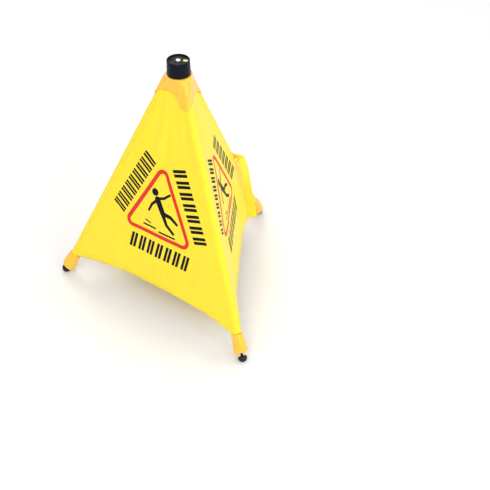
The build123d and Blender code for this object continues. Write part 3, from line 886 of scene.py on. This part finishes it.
# The lower edge's corners: distance to the side of a petal's middle, height above the tips, and rounding
CROWN_EDGE = [(0, 0, 0), (6, 0, 5.5), (11, 13.5, 12), (25, 21.5, 8), (32, 21.5, 0)]
# The edge is turned a little on the legs, and tipped down to +X about a point below the crown's top
CROWN_TURN = math.radians(-6)
CROWN_TILT = math.radians(15)
CROWN_TILT_DROP = 29.0 * MM
CROWN_TIP_DROP = 50.5 * MM
CROWN_COLUMNS = 300
CROWN_ROWS = 44
# The flutes down each petal, in millimetres: distance to the side of its middle, width and height
CROWN_FLUTES = [(6.5, 1.8, -0.9), (10.4, 1.7, 0.5), (15.0, 2.4, -0.8)]
CROWN_FLUTE_START = 0.15
CROWN_FLUTE_RUN = 14 * MM
# The bead, in millimetres: height above the edge, spread and thickness
CROWN_BEAD = (0.7, 1.1, 0.6)
# Round the edge: how far in from the outside, and how far above the edge
CROWN_RIM = [(0.0, 0.0), (0.4 * MM, -0.12 * MM), (0.75 * MM, 0.15 * MM)]


def rounded_line(corners, count=7):
    """A line through (x, y, radius) corners, each rounded by a curve tangent to both its sides."""
    points = [corners[0][:2]]
    for (x0, y0, _), (x1, y1, radius), (x2, y2, _) in zip(corners, corners[1:], corners[2:]):
        corner = Vector((x1, y1))
        back, ahead = (Vector((x0, y0)) - corner).normalized(), (Vector((x2, y2)) - corner).normalized()
        reach = radius / math.tan(back.angle(ahead) / 2)
        for t in np.linspace(0, 1, count):
            curve = corner + back * (reach * (1 - t) ** 2) + ahead * (reach * t**2)
            points.append((curve.x, curve.y))
    return points + [corners[-1][:2]]


class Crown:
    """The three-lobed skirt's surface: a radius for each height and turn."""

    def __init__(self):
        self.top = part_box("crown_skirt")[1][2]
        self.pivot_z = self.top - CROWN_TILT_DROP
        self.tip = self.top - CROWN_TIP_DROP
        leg = LEGS["front"]
        self.hinge_r = Vector((leg.hinge.x, leg.hinge.y)).length
        self.hinge_z = leg.hinge.z
        self.slope = Vector((leg.down.x, leg.down.y)).length / -leg.down.z
        outline = rounded_line(CROWN_EDGE)
        self.sides = [side * MM for side, _ in outline]
        self.rises = [rise * MM for _, rise in outline]
        self.azimuths = [math.atan2(leg.hinge.y, leg.hinge.x) for leg in LEGS.values()]

    def ridge(self, z):
        """Radius over a leg."""
        below = self.top - z
        depths = [depth * MM for depth, _ in CROWN_SHOULDER]
        if below < depths[-1]:
            return float(np.interp(below, depths, [radius * MM for _, radius in CROWN_SHOULDER]))
        return self.hinge_r + self.slope * (self.hinge_z - z) + CROWN_LOBE * math.hypot(1, self.slope)

    def radius(self, z, turn, inset=0.0):
        """The outer radius at a height and azimuth: round over each leg and flat between legs."""
        ridge = self.ridge(z)
        face = max((ridge - CROWN_LOBE) / 2 + CROWN_LOBE, CROWN_FACE)
        face = min(face, ridge - 0.6 * MM)
        reach = 2 * (ridge - face)
        round_r = ridge - reach - inset
        theta = self.from_leg(turn)
        third = math.pi / 3
        blend = math.atan2(round_r * math.sin(third), reach + round_r * math.cos(third))
        if theta < blend:
            return reach * math.cos(theta) + math.sqrt(round_r**2 - (reach * math.sin(theta)) ** 2)
        return (face - inset) / math.cos(third - theta)

    def from_leg(self, turn):
        """The angle to the nearest leg."""
        return min(abs(math.remainder(turn - azimuth, 2 * math.pi)) for azimuth in self.azimuths)

    def on_petal(self, z, turn):
        """A point of the surface in its petal's frame: distance to the side of the middle, and height."""
        radius = self.radius(z, turn)
        x, y, rise = radius * math.cos(turn), radius * math.sin(turn), z - self.pivot_z
        x, rise = (
            x * math.cos(CROWN_TILT) - rise * math.sin(CROWN_TILT),
            x * math.sin(CROWN_TILT) + rise * math.cos(CROWN_TILT),
        )
        side = math.hypot(x, y) * math.sin(self.from_leg(math.atan2(y, x) - CROWN_TURN))
        return side, rise + self.pivot_z

    def edge(self, turn):
        """The lower edge's height at an azimuth, by halving."""
        low, high = self.tip - CROWN_TILT_DROP, self.top
        for _ in range(24):
            z = (low + high) / 2
            side, height = self.on_petal(z, turn)
            if height > self.tip + float(np.interp(side, self.sides, self.rises)):
                high = z
            else:
                low = z
        return high

    def relief(self, z, turn, edge):
        """Moulded relief: a bead round the edge, and soft flutes down each petal."""
        side = self.on_petal(z, turn)[0] / MM
        rise, spread, bead_height = CROWN_BEAD
        bead = bead_height * math.exp(-(((z - edge) / MM - rise) ** 2) / spread)
        run = min(1.0, max(0.0, (self.top - z) / CROWN_FLUTE_RUN - CROWN_FLUTE_START))
        flutes = 0.0
        for place, width, height in CROWN_FLUTES:
            flutes += height * math.exp(-(((side - place) / width) ** 2))
        return (bead + flutes * run) * MM


def crown_profile(shape, turn):
    """The skirt's closed outline at one azimuth, as (height, radius): down, round the edge, up inside."""
    top, edge = shape.top, shape.edge(turn)
    shoulder_r = shape.radius(top, turn)
    far, near = CROWN_TOP_ROUND
    outer_end, inner_end = edge + CROWN_RIM_RISE[0], edge + CROWN_RIM_RISE[1]
    profile = [(top, CROWN_COLLAR), (top, shoulder_r - far), (top - near, shoulder_r - near)]
    for k in range(1, CROWN_ROWS + 1):
        z = top + (outer_end - top) * (k / CROWN_ROWS) ** CROWN_ROW_CROWDING
        profile.append((z, shape.radius(z, turn) + shape.relief(z, turn, edge)))
    for inset, lift in CROWN_RIM:
        profile.append((edge + lift, shape.radius(edge, turn) - inset))
    for k in range(CROWN_ROWS, 0, -1):
        z = top - CROWN_LIP + (inner_end - top + CROWN_LIP) * k / CROWN_ROWS
        profile.append((z, shape.radius(z, turn, CROWN_WALL)))
    return profile + [(top - CROWN_LIP, CROWN_COLLAR)]


def crown():
    """The amber skirt over the leg roots, with a rounded, beaded lower edge."""
    shape = Crown()
    turns = [2 * math.pi * j / CROWN_COLUMNS for j in range(CROWN_COLUMNS)]
    profiles = [crown_profile(shape, turn) for turn in turns]
    loops = len(profiles[0])
    points, faces = [], []
    for k in range(loops):
        for j, turn in enumerate(turns):
            z, radius = profiles[j][k]
            points.append((radius * math.cos(turn), radius * math.sin(turn), z))
            beside = (j + 1) % CROWN_COLUMNS
            here, ahead = k * CROWN_COLUMNS, (k + 1) % loops * CROWN_COLUMNS
            faces.append((here + j, ahead + j, ahead + beside, here + beside))
    piece = new_piece("crown_skirt_moulding", points, faces, ["amber_plastic"])
    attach(piece, "hub")
    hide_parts("crown_skirt")


# ---------------------------------------------------------------- spring


SPRING_WIRE_R = 0.8 * MM
SPRING_TURNS = 8
SPRING_CLOSED_RISE = 1.7 * MM
SPRING_STEPS = 320
SPRING_SIDES = 12


def main_spring():
    """The coil spring over the plunger, with closed ends."""
    low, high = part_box("main_spring")
    bottom, top = low[2] + SPRING_WIRE_R, high[2] - SPRING_WIRE_R
    coil_r = (high[0] - low[0]) / 2 - SPRING_WIRE_R
    turn_marks = [0, 1, SPRING_TURNS - 1, SPRING_TURNS]
    heights = [bottom, bottom + SPRING_CLOSED_RISE, top - SPRING_CLOSED_RISE, top]
    points, faces = [], []
    for k in range(SPRING_STEPS + 1):
        turns = SPRING_TURNS * k / SPRING_STEPS
        angle, z = 2 * math.pi * turns, float(np.interp(turns, turn_marks, heights))
        for j in range(SPRING_SIDES):
            around = 2 * math.pi * j / SPRING_SIDES
            radius = coil_r + SPRING_WIRE_R * math.cos(around)
            height = z + SPRING_WIRE_R * math.sin(around)
            points.append((radius * math.cos(angle), radius * math.sin(angle), height))
    for k in range(SPRING_STEPS):
        for j in range(SPRING_SIDES):
            a, b = k * SPRING_SIDES + j, k * SPRING_SIDES + (j + 1) % SPRING_SIDES
            faces.append((a, a + SPRING_SIDES, b + SPRING_SIDES, b))
    faces.append(tuple(range(SPRING_SIDES)))
    faces.append(tuple(reversed(range(SPRING_STEPS * SPRING_SIDES, (SPRING_STEPS + 1) * SPRING_SIDES))))
    piece = new_piece("main_spring_coil", points, faces, ["spring_steel"])
    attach(piece, "hub")
    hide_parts("main_spring")
    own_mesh(piece)


# ---------------------------------------------------------------- stage


# The camera stands in front and to the left, and looks down past the sign; lens and sensor in millimetres
CAMERA_PLACE = (-0.5225, -1.3634, 1.3412)
CAMERA_FORWARD = (0.326, 0.684, -0.653)
CAMERA_LENS = 70.384
CAMERA_SENSOR = 36.0


def camera():
    data = bpy.data.cameras.new("camera")
    data.sensor_width = CAMERA_SENSOR
    data.lens = CAMERA_LENS
    eye = bpy.data.objects.new("camera", data)
    eye.location = CAMERA_PLACE
    eye.rotation_euler = Vector(CAMERA_FORWARD).to_track_quat("-Z", "Y").to_euler()
    bpy.context.scene.collection.objects.link(eye)
    bpy.context.scene.camera = eye


def area_light(name, place, target, size, power):
    data = bpy.data.lights.new(name, "AREA")
    data.shape = "DISK"
    data.size = size
    data.energy = power
    light = bpy.data.objects.new(name, data)
    light.location = place
    light.rotation_euler = (Vector(target) - Vector(place)).to_track_quat("-Z", "Y").to_euler()
    bpy.context.scene.collection.objects.link(light)


FLOOR_REACH = 8.0
SKY_STRENGTH = 0.68
LIGHT_TARGET = (0, 0, 0.22)
# Soft lights: place, diameter and power
LIGHTS = {
    "key": ((-1.3, -1.5, 2.3), 1.6, 25),
    "fill": ((1.9, -0.9, 1.5), 1.6, 13),
    "front": ((0.5, -2.3, 1.5), 1.6, 15),
    "back": ((0.3, 2.0, 2.2), 1.4, 16),
}


def studio():
    """A plain pale floor, soft lights all round and an even pale sky."""
    corners = [(x * FLOOR_REACH, y * FLOOR_REACH, 0) for x, y in ((-1, -1), (1, -1), (1, 1), (-1, 1))]
    mesh = bpy.data.meshes.new("floor")
    mesh.from_pydata(corners, [], [(0, 1, 2, 3)])
    floor = bpy.data.objects.new("floor", mesh)
    bpy.context.scene.collection.objects.link(floor)
    m = Nodes("floor", (0.93, 0.93, 0.93), 0.6)
    m.tint(m.noise(m.place(), 2.0), 0.99, 1.01)
    mesh.materials.append(m.material)
    for name, (place, size, power) in LIGHTS.items():
        area_light(name, place, LIGHT_TARGET, size, power)
    world = bpy.data.worlds.new("studio")
    world.use_nodes = True
    background = world.node_tree.nodes["Background"]
    background.inputs["Color"].default_value = (1, 1, 1, 1)
    background.inputs["Strength"].default_value = SKY_STRENGTH
    bpy.context.scene.world = world
    bpy.context.scene.view_settings.view_transform = "Standard"


camera()
studio()
dress_cad_nodes()
for leg in LEGS.values():
    leg_sleeve(leg)
for side in PANELS:
    cover, threads, flat, area, sleeves = fabric_panel(side)
carry_strap()
crown()
main_spring()
